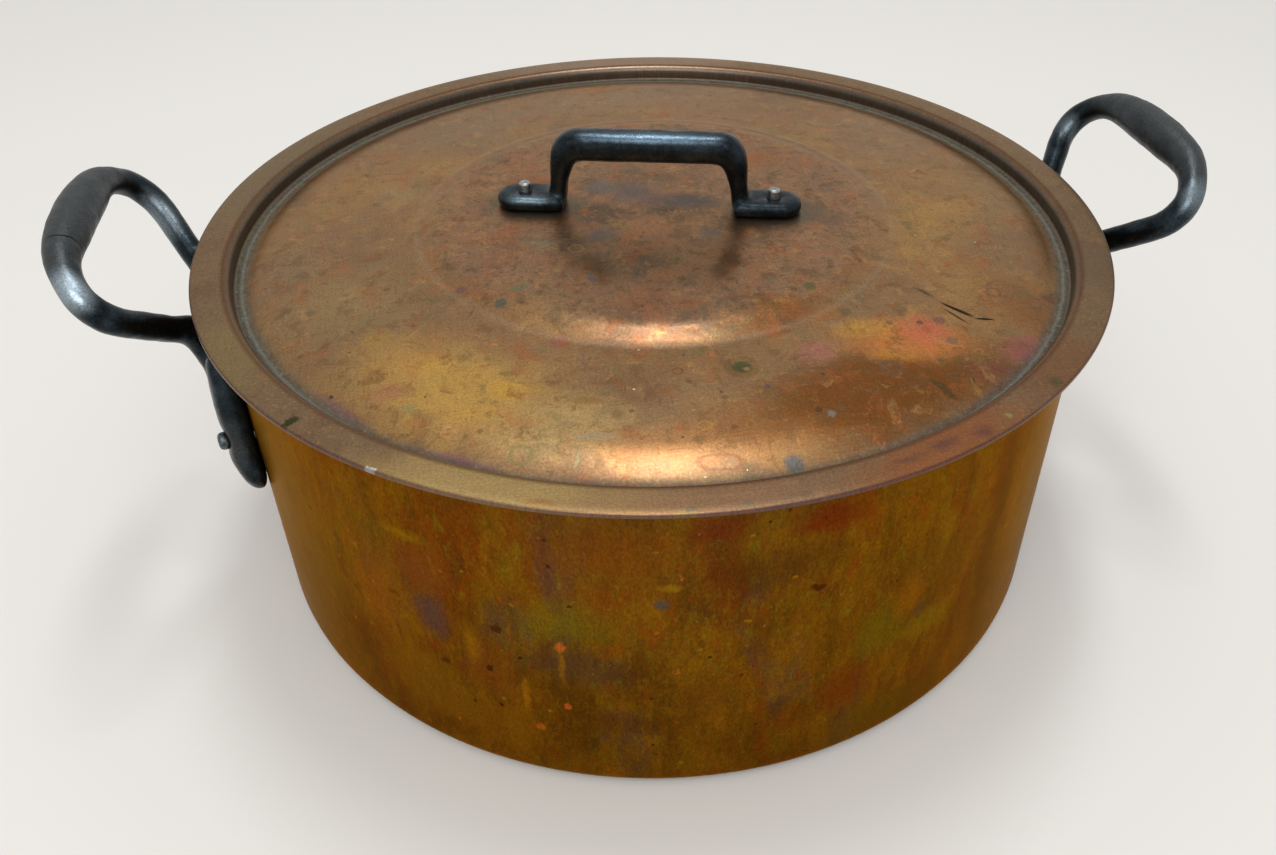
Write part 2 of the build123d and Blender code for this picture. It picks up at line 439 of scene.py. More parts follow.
def copper_wall_material():
    """Copper that heat has browned: dark and satin, with clouds of rust red and olive drawn out upwards, and
    with flecks, specks and pits. Full-height bands down its sides are painted reflections, and a darkening
    towards its top is painted shade under the lid's brim."""
    material, shader = new_material("copper_heat_browned_wall")
    spot = add_node(material, "ShaderNodeTexCoord").outputs["Object"]
    upright = add_node(
        material, "ShaderNodeMapping", {"Vector": spot, "Scale": (1, 1, 0.45)}
    ).outputs["Vector"]
    clouds = add_node(
        material,
        "ShaderNodeTexNoise",
        {"Vector": upright, "Scale": 1 / heat_cloud, "Detail": 9, "Roughness": 0.74},
    )
    ground = add_node(material, "ShaderNodeValToRGB", {"Fac": clouds.outputs["Fac"]})
    ramp = ground.color_ramp
    ramp.elements[0].position, ramp.elements[0].color = 0.30, linear("#46280e")
    ramp.elements[1].position, ramp.elements[1].color = 0.72, linear("#956a16")
    for position, hue in ((0.43, "#623d0e"), (0.53, "#754c0e"), (0.62, "#84550e")):
        ramp.elements.new(position).color = linear(hue)
    heat_clouds = [
        (26, 0.52, 0.66, "#75300e", 0.55),
        (30, 0.53, 0.66, "#5e5412", 0.46),
        (34, 0.54, 0.68, "#4f3a35", 0.60),
        (9, 0.53, 0.68, "#92640e", 0.5),
        (7, 0.54, 0.68, "#492e15", 0.6),
        (5, 0.53, 0.66, "#7f3b0f", 0.6),
        (3.5, 0.54, 0.66, "#736515", 0.45),
        (1.2, 0.53, 0.62, "#846a18", 0.24),
        (1.0, 0.55, 0.63, "#422a0e", 0.26),
    ]
    colour = lay_clouds(material, ground.outputs["Color"], upright, heat_clouds)
    wide = stir(material, spot, size=22, amount=26)
    heat_patches_and_reflections = [
        (-104, 98, 26, 16, "#753e0e", 0.6, 0.8),
        (-110, 71, 20, 14, "#6f6015", 0.6, 0.8),
        (-109, 52, 22, 12, "#473426", 0.6, 0.8),
        (-126, 62, 9, 16, "#4f3e43", 0.7, 0.8),
        (-119, 44, 12, 20, "#743e1a", 0.6, 0.8),
        (-127, 79, 13, 13, "#764226", 0.6, 0.8),
        (-121, 22, 30, 12, "#82560e", 0.6, 0.8),
        (-129, 30, 28, 18, "#7c5615", 0.6, 0.8),
        (-103, 31, 24, 8, "#4f2e0e", 0.5, 0.8),
        (-81, 104, 17, 7, "#6a1f0c", 0.75, 0.9),
        (-92, 106, 10, 6, "#69270f", 0.7, 0.7),
        (-86, 90, 26, 14, "#512e0e", 0.6, 0.8),
        (-93, 43, 16, 16, "#62380e", 0.5, 0.8),
        (-72, 53, 14.5, 14.5, "#65590f", 0.7, 0.8),
        (-65, 46, 16, 10, "#7e6714", 0.6, 0.8),
        (-77, 34, 14.5, 14.5, "#72340e", 0.7, 0.8),
        (-65, 70, 23, 23, "#61480e", 0.5, 0.8),
        # The next three marks are painted reflections of the room: full-height vertical bands, two dark on
        # the wall's right side and one olive grey on its left.
        (-54, 66, 10, 80, "#452a12", 0.85, 1.0),
        (-38, 62, 17, 75, "#5c4229", 0.85, 0.7),
        (-150, 62, 26, 75, "#6b543b", 0.65, 0.9),
        (-168, 85, 22, 40, "#54351f", 0.7, 0.9),
        (-134, 60, 12, 30, "#824e24", 0.6, 0.9),
        (-70, 13, 34, 12, "#614d0e", 0.6, 0.8),
        (-69, 61, 7, 11, "#8c560f", 0.6, 0.8),
    ]
    colour = lay_marks(material, colour, wide, on_wall(heat_patches_and_reflections))
    near = stir(material, spot, size=4, amount=5)
    flecks = [
        (-115, 38, 1.7, 10, "#a46a0e", 0.65, 0.8),
        (-110.3, 54, 1.5, 10, "#9e6a0e", 0.55, 0.8),
        (-110.4, 61, 1.9, 2.6, "#bf6023", 0.8, 0.6),
        (-110, 36, 1.2, 1.8, "#c45d29", 0.8, 0.5),
        (-113.6, 25, 2, 2, "#bb6126", 0.7, 0.6),
        (-98, 86, 4.4, 2.2, "#9e7610", 0.5, 0.8),
        (-99, 80, 2.4, 2.4, "#51483f", 0.8, 0.6),
        (-128, 90, 12, 3, "#907014", 0.5, 0.9),
        (-121, 54, 4, 10, "#9b6a11", 0.5, 0.9),
        (-117.7, 64, 2, 2, "#3f200e", 0.8, 0.5),
        (-119.3, 46, 1.5, 1.5, "#371b0f", 0.9, 0.4),
        (-115.2, 54, 1.0, 1.0, "#2f170e", 0.9, 0.4),
        (-118.6, 31, 1.0, 1.0, "#3f110e", 0.9, 0.4),
        (-125.3, 43, 1.8, 1.8, "#402812", 0.8, 0.5),
        (-131.5, 64, 3, 2, "#503412", 0.7, 0.6),
        (-81.7, 79, 3, 1.6, "#44100e", 0.8, 0.5),
        (-66.7, 53, 4.2, 4.2, "#4f3f38", 0.6, 0.7),
        (-85.4, 32, 5, 7, "#4c3624", 0.6, 0.7),
        (-83.7, 27, 6, 9, "#733e0e", 0.6, 0.7),
        (-64, 83, 5, 9, "#836116", 0.5, 0.8),
    ]
    colour = lay_marks(material, colour, near, on_wall(flecks))
    specks = [
        (6, 0.9, 0.16, "#9d7210", 0.6),
        (5, 0.8, 0.16, "#311d0e", 0.8),
        (9, 0.9, 0.14, "#af5c20", 0.7),
        (2.6, 0.35, 0.35, "#927950", 0.5),
        (3.1, 0.4, 0.35, "#22170f", 0.6),
    ]
    colour = scatter_dots(material, colour, near, specks)
    # Painted shade: the wall darkens towards its top, under the lid's overhanging brim.
    painted_shade_under_brim = [((0, 0, 121), (400, 400, 26), 0, "#3f260e", 0.55, 1.0)]
    colour = lay_marks(material, colour, spot, painted_shade_under_brim)
    colour = grain_over(material, colour, spot, size=0.6, stretch=(1, 1, 0.5), depth=0.20)
    colour = grain_over(material, colour, spot, size=3, stretch=(1, 1, 0.10), depth=0.06)
    gloss = add_node(
        material,
        "ShaderNodeMapRange",
        {"Value": clouds.outputs["Fac"], "From Min": 0.3, "From Max": 0.7, "To Min": 0.28, "To Max": 0.42},
    )
    finish = {
        "Base Color": colour,
        "Metallic": 0.95,
        "Specular Tint": linear("#ecc48a"),
        "Roughness": gloss.outputs["Result"],
        "Normal": fine_relief(material, spot, copper_grain, depth=0.05 * mm, strength=0.25),
    }
    fill_inputs(material, shader, finish)
    return material


def dress(piece, material):
    """Gives the piece this material and no other."""
    piece.data.materials.clear()
    piece.data.materials.append(material)


dress(pot, copper_wall_material())
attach(pot, "pot")
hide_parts("pot_body")


# Tin lining of the pot: pure tin wiped over the hot copper by hand, because bare copper is unsafe with food.
# It is a grey satin skin with soft wiping strokes, greyer where it has been cooked in.
wiping_stroke = 6.25 * mm
dull_patch = 45.45 * mm


def tin_material():
    """Wiped tin: pale grey and satin, with soft strokes and duller clouds."""
    material, shader = new_material("tin_wiped_lining")
    spot = add_node(material, "ShaderNodeTexCoord").outputs["Object"]
    strokes = add_node(
        material, "ShaderNodeMapping", {"Vector": spot, "Rotation": (0.5, 0.3, 0.6), "Scale": (1, 0.12, 1)}
    )
    wiped = add_node(
        material,
        "ShaderNodeTexNoise",
        {"Vector": strokes.outputs["Vector"], "Scale": 1 / wiping_stroke, "Detail": 5, "Roughness": 0.6},
    )
    dull = add_node(material, "ShaderNodeTexNoise", {"Vector": spot, "Scale": 1 / dull_patch, "Detail": 4})
    tone = add_node(
        material,
        "ShaderNodeMix",
        {0: wiped.outputs["Fac"], 6: linear("#b9b6ae"), 7: linear("#a19d94")},
        data_type="RGBA",
    )
    dull_share = add_node(
        material,
        "ShaderNodeMapRange",
        {"Value": dull.outputs["Fac"], "From Min": 0.45, "From Max": 0.7, "To Max": 0.6},
    )
    colour = add_node(
        material,
        "ShaderNodeMix",
        {0: dull_share.outputs["Result"], 6: tone.outputs[2], 7: linear("#8b8880")},
        data_type="RGBA",
    )
    gloss = add_node(
        material,
        "ShaderNodeMapRange",
        {"Value": wiped.outputs["Fac"], "From Min": 0.3, "From Max": 0.7, "To Min": 0.3, "To Max": 0.44},
    )
    relief = add_node(
        material, "ShaderNodeBump", {"Strength": 0.3, "Distance": 0.1 * mm, "Height": wiped.outputs["Fac"]}
    )
    finish = {
        "Base Color": colour.outputs[2],
        "Metallic": 1,
        "Roughness": gloss.outputs["Result"],
        "Normal": relief.outputs["Normal"],
    }
    fill_inputs(material, shader, finish)
    return material


tin = tin_material()
dress(nodes["pot_tin_lining"], tin)

# Side handles: two loops of the same casting in black iron. Each has two splayed pads that lie on the wall,
# with a rivet through each. The skin keeps the mould's faint ripple, worn to a satin where hands hold it.
iron_cell = 0.55 * mm
iron_ripple_size = 6 * mm
weld_reach = 0.001 * mm


def smooth(times):
    """A step that smooths a skin this many times."""
    return "SMOOTH", dict(factor=0.5, iterations=times)


def swell(depth, direction="NORMAL"):
    """A step that moves a skin outwards by this depth, or along the axis that is its direction."""
    return "DISPLACE", dict(strength=depth, mid_level=0, direction=direction)


def soft_copy(node_name, name, cell, steps_by_group, softening, ripple, ripple_level):
    """A welded copy of a CAD piece, remeshed in fine cells, softened group by group and then as a whole, and
    given the faint ripple of its skin. Each group has a name, a weight for each place, and its steps."""
    mesh = nodes[node_name].data.copy()
    mesh.name = name
    piece = bpy.data.objects.new(name, mesh)
    bpy.context.scene.collection.objects.link(piece)
    select_only(piece)
    bpy.ops.object.mode_set(mode="EDIT")
    bpy.ops.mesh.select_all(action="SELECT")
    bpy.ops.mesh.remove_doubles(threshold=weld_reach)
    bpy.ops.object.mode_set(mode="OBJECT")
    bpy.ops.mesh.customdata_custom_splitnormals_clear()
    apply_steps(piece, [("REMESH", dict(mode="VOXEL", voxel_size=cell, use_smooth_shade=True))])
    steps = []
    for group_name, weight_at, group_steps in steps_by_group:
        group = piece.vertex_groups.new(name=group_name)
        for vertex in piece.data.vertices:
            group.add([vertex.index], min(1, max(0, weight_at(vertex.co))), "REPLACE")
        steps += [(kind, dict(settings, vertex_group=group_name)) for kind, settings in group_steps]
    clouds = cloud_texture(name + "_ripple", iron_ripple_size, finer_layers=2)
    steps.append(smooth(softening))
    steps.append(("DISPLACE", dict(texture=clouds, strength=ripple, mid_level=ripple_level)))
    apply_steps(piece, steps)
    piece.vertex_groups.clear()
    shade(piece, degrees=50)
    return piece


iron_cloud = 6.667 * mm
iron_grain = 1 * mm
worn_from, worn_full = 168 * mm, 175 * mm
worn_extra_roughness = 0.14


def iron_material():
    """Black cast iron, oiled and handled: blue-black with a fine sparkle, dull grey on the grips, with a
    hairline crack in the skin of the left one. Painted highlights lie on the loops' corners, the far legs,
    the bow's top and its left foot, painted shade on the bow's front face, and a lighter grey patch on the
    left loop's front pad."""
    material, shader = new_material("cast_iron_oiled_black")
    spot = add_node(material, "ShaderNodeTexCoord").outputs["Object"]
    clouds = add_node(
        material,
        "ShaderNodeTexNoise",
        {"Vector": spot, "Scale": 1 / iron_cloud, "Detail": 8, "Roughness": 0.7},
    )
    ground = add_node(material, "ShaderNodeValToRGB", {"Fac": clouds.outputs["Fac"]})
    ramp = ground.color_ramp
    ramp.elements[0].position, ramp.elements[0].color = 0.34, linear("#13181b")
    ramp.elements[1].position, ramp.elements[1].color = 0.68, linear("#343e44")
    apart = add_node(material, "ShaderNodeSeparateXYZ", {"Vector": stir(material, spot, size=6, amount=5)})
    off_middle = add_node(material, "ShaderNodeMath", {0: apart.outputs["X"]}, operation="ABSOLUTE")
    worn = add_node(
        material,
        "ShaderNodeMapRange",
        {"Value": off_middle.outputs["Value"], "From Min": worn_from, "From Max": worn_full},
        interpolation_type="SMOOTHSTEP",
    ).outputs["Result"]
    colour = add_node(
        material,
        "ShaderNodeMix",
        {0: worn, 6: ground.outputs["Color"], 7: linear("#4a4e50")},
        data_type="RGBA",
    ).outputs[2]
    painted_light_and_crack_marks = [
        # Painted highlights where the lamps catch the left loop's near corner and far leg, and the right
        # loop's far leg and near corner.
        ((-171.4, -38.8, 131.5), (11, 7, 9), -42, "#a8b8c2", 0.9, 0.8),
        ((-162, 30, 118), (12, 6, 13), -52, "#7f8b93", 0.8, 0.8),
        ((163.7, 33.9, 123.3), (5, 7, 8), 0, "#727e85", 0.65, 0.8),
        ((170.8, -39.5, 130.6), (10, 6, 8), 38, "#7f8c94", 0.75, 0.8),
        # Painted shade on the bow's front face, and painted highlights along its top and on its left foot.
        ((-1.4, -8.5, 141.5), (36, 4, 4.5), -14, "#090c0e", 0.85, 0.8),
        ((-1.4, -3.4, 147.9), (33, 4.5, 2.6), -14, "#687d8e", 0.8, 0.8),
        ((-42, 4, 126.5), (11, 4.5, 3), -14, "#6d7f89", 0.8, 0.9),
        # A lighter grey patch on the left loop's front pad.
        ((-143, -41, 72), (9, 9, 14), 0, "#4b4a45", 0.6, 0.9),
        # The hairline crack in the left grip's skin.
        ((-175, -21, 138), (7, 0.4, 12), 10, "#15181a", 0.95, 0.5),
    ]
    colour = lay_marks(material, colour, stir(material, spot, size=4, amount=1.6), painted_light_and_crack_marks)
    colour = grain_over(material, colour, spot, size=0.5, stretch=(1, 1, 1), depth=0.28)
    gloss = add_node(
        material,
        "ShaderNodeMapRange",
        {"Value": clouds.outputs["Fac"], "From Min": 0.35, "From Max": 0.65, "To Min": 0.40, "To Max": 0.24},
    )
    dulled = add_node(
        material,
        "ShaderNodeMath",
        {0: worn, 1: worn_extra_roughness, 2: gloss.outputs["Result"]},
        operation="MULTIPLY_ADD",
    )
    finish = {
        "Base Color": colour,
        "Metallic": 0.95,
        "Roughness": dulled.outputs["Value"],
        "Normal": fine_relief(material, spot, iron_grain, 0.15 * mm, strength=0.6, detail=4, roughness=0.7),
    }
    fill_inputs(material, shader, finish)
    return material


iron = iron_material()
grip_inner, grip_outer = 144 * mm, 160 * mm
pad_outer = 154 * mm
pad_blend = 4 * mm
pad_back = 142 * mm
pad_swelling = 2.1 * mm
pad_end, pad_end_blend = 57 * mm, 10 * mm
pad_tip = 68 * mm
grip_swelling = 1.35 * mm
grip_inset = 0.85 * mm
grip_drop = 0.4 * mm
grip_smoothing, pad_smoothing, tip_smoothing, loop_softening = 400, 130, 220, 30
loop_ripple = 0.35 * mm
loop_ripple_level = 0.35

for side, inward in (("left", 1), ("right", -1)):
    loop = soft_copy(
        "side_handle_" + side,
        "iron_loop_" + side,
        iron_cell,
        [
            (
                "grip",
                lambda place: (abs(place.x) - grip_inner) / (grip_outer - grip_inner),
                [
                    smooth(grip_smoothing),
                    swell(grip_swelling),
                    swell(grip_inset * inward, "X"),
                    swell(-grip_drop, "Z"),
                ],
            ),
            (
                "pads",
                lambda place: (pad_outer - place.xy.length) / pad_blend,
                [smooth(pad_smoothing)],
            ),
            (
                "pad_backs",
                lambda place: min(
                    (pad_outer - place.xy.length) / pad_blend,
                    (place.xy.length - pad_back) / pad_blend,
                    (place.z - pad_end) / pad_end_blend,
                ),
                [swell(pad_swelling)],
            ),
            (
                "pad_tips",
                lambda place: (pad_tip - place.z) / pad_end_blend,
                [smooth(tip_smoothing)],
            ),
        ],
        softening=loop_softening,
        ripple=loop_ripple,
        ripple_level=loop_ripple_level,
    )
    dress(loop, iron)
    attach(loop, "pot")
    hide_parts("side_handle_" + side)


# Side rivets: soft steel, one through each pad and the wall, with the outer end hammered to a round button.
# Their inner heads lie flat on the tin. They are given a darker steel than the lid's rivets.
hammer_dimple = 1.4286 * mm
rivet_cell = 0.2 * mm
rivet_softening = 22
side_end_inner, side_end_outer = 147.6 * mm, 148.6 * mm
side_end_swelling = 0.6 * mm
rivet_skin = 0.08 * mm
even_ripple = 0.5


def steel_material(name, darkest, lightest):
    """Hammered rivet steel: dimpled and satin, a little darker in its hollows."""
    material, shader = new_material(name)
    spot = add_node(material, "ShaderNodeTexCoord").outputs["Object"]
    dimples = add_node(
        material,
        "ShaderNodeTexNoise",
        {"Vector": spot, "Scale": 1 / hammer_dimple, "Detail": 3, "Roughness": 0.6},
    )
    ground = add_node(material, "ShaderNodeValToRGB", {"Fac": dimples.outputs["Fac"]})
    ramp = ground.color_ramp
    ramp.elements[0].position, ramp.elements[0].color = 0.35, linear(darkest)
    ramp.elements[1].position, ramp.elements[1].color = 0.65, linear(lightest)
    relief = add_node(
        material, "ShaderNodeBump", {"Strength": 0.6, "Distance": 0.2 * mm, "Height": dimples.outputs["Fac"]}
    )
    finish = {
        "Base Color": ground.outputs["Color"],
        "Metallic": 1,
        "Roughness": 0.38,
        "Normal": relief.outputs["Normal"],
    }
    fill_inputs(material, shader, finish)
    return material


dark_steel = steel_material("steel_rivet_dark", "#41484c", "#6c767b")
for node_name in list(nodes):
    if node_name.startswith("side_rivet"):
        rivet = soft_copy(
            node_name,
            "steel_" + node_name,
            rivet_cell,
            [
                (
                    "end",
                    lambda place: (place.xy.length - side_end_inner) / (side_end_outer - side_end_inner),
                    [swell(side_end_swelling)],
                )
            ],
            softening=rivet_softening,
            ripple=rivet_skin,
            ripple_level=even_ripple,
        )
        dress(rivet, dark_steel)
        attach(rivet, "pot")
        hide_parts(node_name)

# Lid disc: one copper sheet, 1.5 mm thick, pressed with a flat brim, a groove that drops into the pot, a low
# dome and a raised boss under the handle. It lies loose on the rim.
lid_sheet = 1.5 * mm
brim_top = pot_height + lid_sheet
brim_radius = 147.47 * mm
brim_bend = 2.7 * mm
groove_wall_radius = 135.8 * mm
groove_depth = 5.5 * mm
groove_corner_bend = 1 * mm
groove_inner_radius = 132 * mm
groove_dome_bend = 3 * mm
bank_radius = 124 * mm
bank_height = 3.4 * mm
dome_bend = 34 * mm
dome_rise = 2.2 * mm
boss_foot_radius = 78 * mm
boss_radius = 70 * mm
boss_height = 3 * mm
boss_bend = 15 * mm
groove_floor = brim_top - groove_depth
bank_top = groove_floor + bank_height
boss_foot = bank_top + dome_rise
boss_top = boss_foot + boss_height

lid = turned_sheet(
    "copper_lid",
    [
        (0, boss_top),
        (boss_radius, boss_top),
        (boss_foot_radius, boss_foot),
        (bank_radius, bank_top),
        (groove_inner_radius, groove_floor),
        (groove_wall_radius, groove_floor),
        (groove_wall_radius, brim_top),
        (brim_radius, brim_top),
    ],
    [boss_bend, boss_bend, dome_bend, groove_dome_bend, groove_corner_bend, brim_bend],
    faces_up=True,
)
finish_sheet(lid, lid_sheet, unevenness_level=only_outwards)


# A mark on the lid reaches this many millimetres up and down, which is right through the lid.
through_the_lid = 1000


def on_lid(marks):
    """Marks on the lid, given by their place on it, as marks in space."""
    return [
        ((x, y, 0), (along, across, through_the_lid), turn, hue, cover, soft)
        for x, y, along, across, turn, hue, cover, soft in marks
    ]


def share_within(material, place, radius):
    """One for a flat place within this radius of the axis, falling to nothing a sixth further out."""
    from_axis = add_node(material, "ShaderNodeVectorMath", {0: place}, operation="LENGTH").outputs["Value"]
    return add_node(
        material,
        "ShaderNodeMapRange",
        {"Value": from_axis, "From Min": radius * 7 / 6, "From Max": radius},
        interpolation_type="SMOOTHSTEP",
    ).outputs["Result"]


lid_cloud = 62.5 * mm
brim_blend = 1.2 * mm
wall_blend = 1 * mm
grime_from, grime_full, grime_cover = 128.8 * mm, 133.2 * mm, 0.9
grime_extra_roughness = 0.4
dried_line_radius, dried_line_half_width, dried_line_cover = 133.3 * mm, 0.8 * mm, 0.34


def copper_lid_material():
    """Tarnished copper sheet, lightly rubbed: brown with gold, olive and rose clouds, ring stains and specks,
    duller on its brim, with grey grime in its groove. It carries painted reflections of the bow's legs,
    painted light on its near side, and painted shade on the groove's outer wall."""
    material, shader = new_material("copper_tarnished_lid")
    spot = add_node(material, "ShaderNodeTexCoord").outputs["Object"]
    flat = add_node(
        material, "ShaderNodeVectorMath", {0: spot, 1: (1, 1, 0)}, operation="MULTIPLY"
    ).outputs["Vector"]
    clouds = add_node(
        material,
        "ShaderNodeTexNoise",
        {"Vector": flat, "Scale": 1 / lid_cloud, "Detail": 6, "Roughness": 0.62},
    )
    ground = add_node(material, "ShaderNodeValToRGB", {"Fac": clouds.outputs["Fac"]})
    ramp = ground.color_ramp
    ramp.elements[0].position, ramp.elements[0].color = 0.32, linear("#846448")
    ramp.elements[1].position, ramp.elements[1].color = 0.70, linear("#af8852")
    for position, hue in ((0.45, "#937353"), (0.57, "#9e7a51")):
        ramp.elements.new(position).color = linear(hue)
    wide = stir(material, flat, size=22, amount=24, flat=True)
    near = stir(material, flat, size=3, amount=2.4, flat=True)
    broad_patches_and_painted_light = [
        (0, 0, 78, 78, 0, "#93705a", 0.65, 0.2),
        (-70, -84, 48, 26, -35, "#c99f53", 0.9, 0.9),
        (-40, -108, 30, 18, -18, "#c2a26a", 0.8, 0.9),
        (-95, -35, 32, 32, 0, "#9d845b", 0.7, 0.9),
        (-118, -22, 14, 40, 0, "#917a5c", 0.6, 0.9),
        (10, 105, 70, 24, 0, "#917b68", 0.6, 0.9),
        (-60, 85, 40, 26, 40, "#8f7b64", 0.6, 0.9),
        (95, 50, 30, 45, 0, "#987c61", 0.6, 0.9),
        (118, -5, 14, 34, 0, "#977c5a", 0.6, 0.9),
        # The next three marks are partly painted light. One is a lighter orange where the lamp's highlight
        # falls on the dome's near edge. The others are darker browns over the boss's near slope and the dome
        # in front of it, painted shade that dims the highlight there.
        (-2, -118, 48, 13, 0, "#c08a58", 0.8, 0.9),
        (-2, -86, 56, 13, 0, "#93704a", 0.6, 0.9),
        (-2, -73, 44, 7, 0, "#6d4c38", 0.6, 0.9),
        (42, -106, 62, 24, 15, "#79481a", 0.92, 0.7),
        (100, -70, 18, 30, 30, "#8f5c37", 0.7, 0.9),
        (58, -85, 26, 14, -7, "#cb7f43", 0.95, 0.8),
        (49, -79, 13, 7, -7, "#cc9a43", 0.65, 0.8),
        (52, -91, 10, 4, -7, "#cf943b", 0.5, 0.8),
        (66, -80, 10, 10, 0, "#ce6f55", 0.85, 0.9),
        (30, -86, 9, 9, 0, "#b17164", 0.8, 0.9),
        (93, -91, 7, 14, -59, "#af5c66", 0.7, 0.8),
        (77, -101, 11, 7, 0, "#7d4b43", 0.6, 0.8),
        (24, -68, 22, 10, 10, "#82522a", 0.8, 0.8),
        (-87, -82, 8, 8, 0, "#ad795a", 0.7, 0.9),
        (-88, -57, 8, 8, 0, "#bd974c", 0.6, 0.9),
        (-75, -74, 12, 7, -12, "#ce9f4c", 0.45, 0.9),
        (-54, -89, 9, 6, -12, "#d8a43b", 0.5, 0.9),
        (-64, -97, 12, 6, -12, "#cc9f48", 0.35, 0.9),
        (-19, -2, 13, 13, 0, "#504740", 0.8, 0.7),
        (9, 0, 18, 11, 0, "#49423d", 0.85, 0.7),
        (-15, -36, 11, 11, 0, "#6b5e49", 0.7, 0.8),
        (24, -18, 12, 12, 0, "#604632", 0.6, 0.8),
        (2, 22, 26, 9, -14, "#6a5847", 0.6, 0.8),
        (-41, -20, 8.5, 8.5, 0, "#787563", 0.7, 0.8),
        (-86, 32, 13, 13, 0, "#ad9164", 0.6, 0.9),
        (30, 75, 30, 20, 0, "#97735a", 0.5, 0.9),
    ]
    colour = lay_marks(material, ground.outputs["Color"], wide, on_lid(broad_patches_and_painted_light))
    tarnish_clouds = [
        (18, 0.52, 0.66, "#705b4d", 0.42),
        (13, 0.53, 0.66, "#af6538", 0.45),
        (20, 0.54, 0.67, "#7f774c", 0.34),
        (7, 0.53, 0.64, "#745436", 0.50),
        (6, 0.55, 0.65, "#c09259", 0.42),
        (5, 0.55, 0.64, "#9c552d", 0.42),
        (3.5, 0.56, 0.64, "#695e3e", 0.40),
        (2, 0.57, 0.65, "#5e4b34", 0.40),
        (1.3, 0.55, 0.65, "#624a34", 0.22),
        (1.6, 0.56, 0.66, "#cca471", 0.25),
    ]
    colour = lay_clouds(material, colour, wide, tarnish_clouds)
    boss_clouds = [
        (16, 0.50, 0.60, "#a06a48", 0.5),
        (12, 0.53, 0.62, "#675a4d", 0.50),
        (6, 0.54, 0.62, "#5e4733", 0.42),
        (3.4, 0.55, 0.61, "#af8157", 0.50),
        (2.2, 0.56, 0.62, "#523c29", 0.40),
    ]
    boss_colour = lay_clouds(material, colour, near, boss_clouds)
    boss_patches_and_reflections = [
        (-6, 12, 14, 11, -14, "#625c5d", 0.85, 0.9),
        (8, 3, 20, 7, -14, "#5a5355", 0.8, 0.9),
        (-16, 18, 7, 9, 0, "#6a6a66", 0.7, 0.9),
        (-20, -16, 9, 8, 0, "#645e5e", 0.7, 0.9),
        (15, -20, 6, 7, 0, "#66605e", 0.6, 0.9),
        (30, -14, 12, 9, 0, "#583928", 0.6, 0.9),
        (-40, 24, 14, 10, 0, "#9e582d", 0.6, 0.9),
        (40, 30, 14, 10, 0, "#a76438", 0.6, 0.9),
        # The next two marks are painted reflections of the bow's legs: dark brown streaks in front of them.
        (16, -40, 6, 17, -28, "#4a3218", 0.7, 0.9),
        (-24, -36, 7, 15, 20, "#4d371f", 0.6, 0.9),
        (-39.8, 9.7, 23, 15, -14, "#56574c", 0.8, 0.6),
        (39.8, -9.7, 23, 15, -14, "#56574c", 0.8, 0.6),
    ]
    boss_place = stir(material, flat, size=9, amount=14, flat=True)
    boss_colour = lay_marks(material, boss_colour, boss_place, on_lid(boss_patches_and_reflections))
    colour = add_node(
        material,
        "ShaderNodeMix",
        {0: share_within(material, wide, boss_radius), 6: colour, 7: boss_colour},
        data_type="RGBA",
    ).outputs[2]
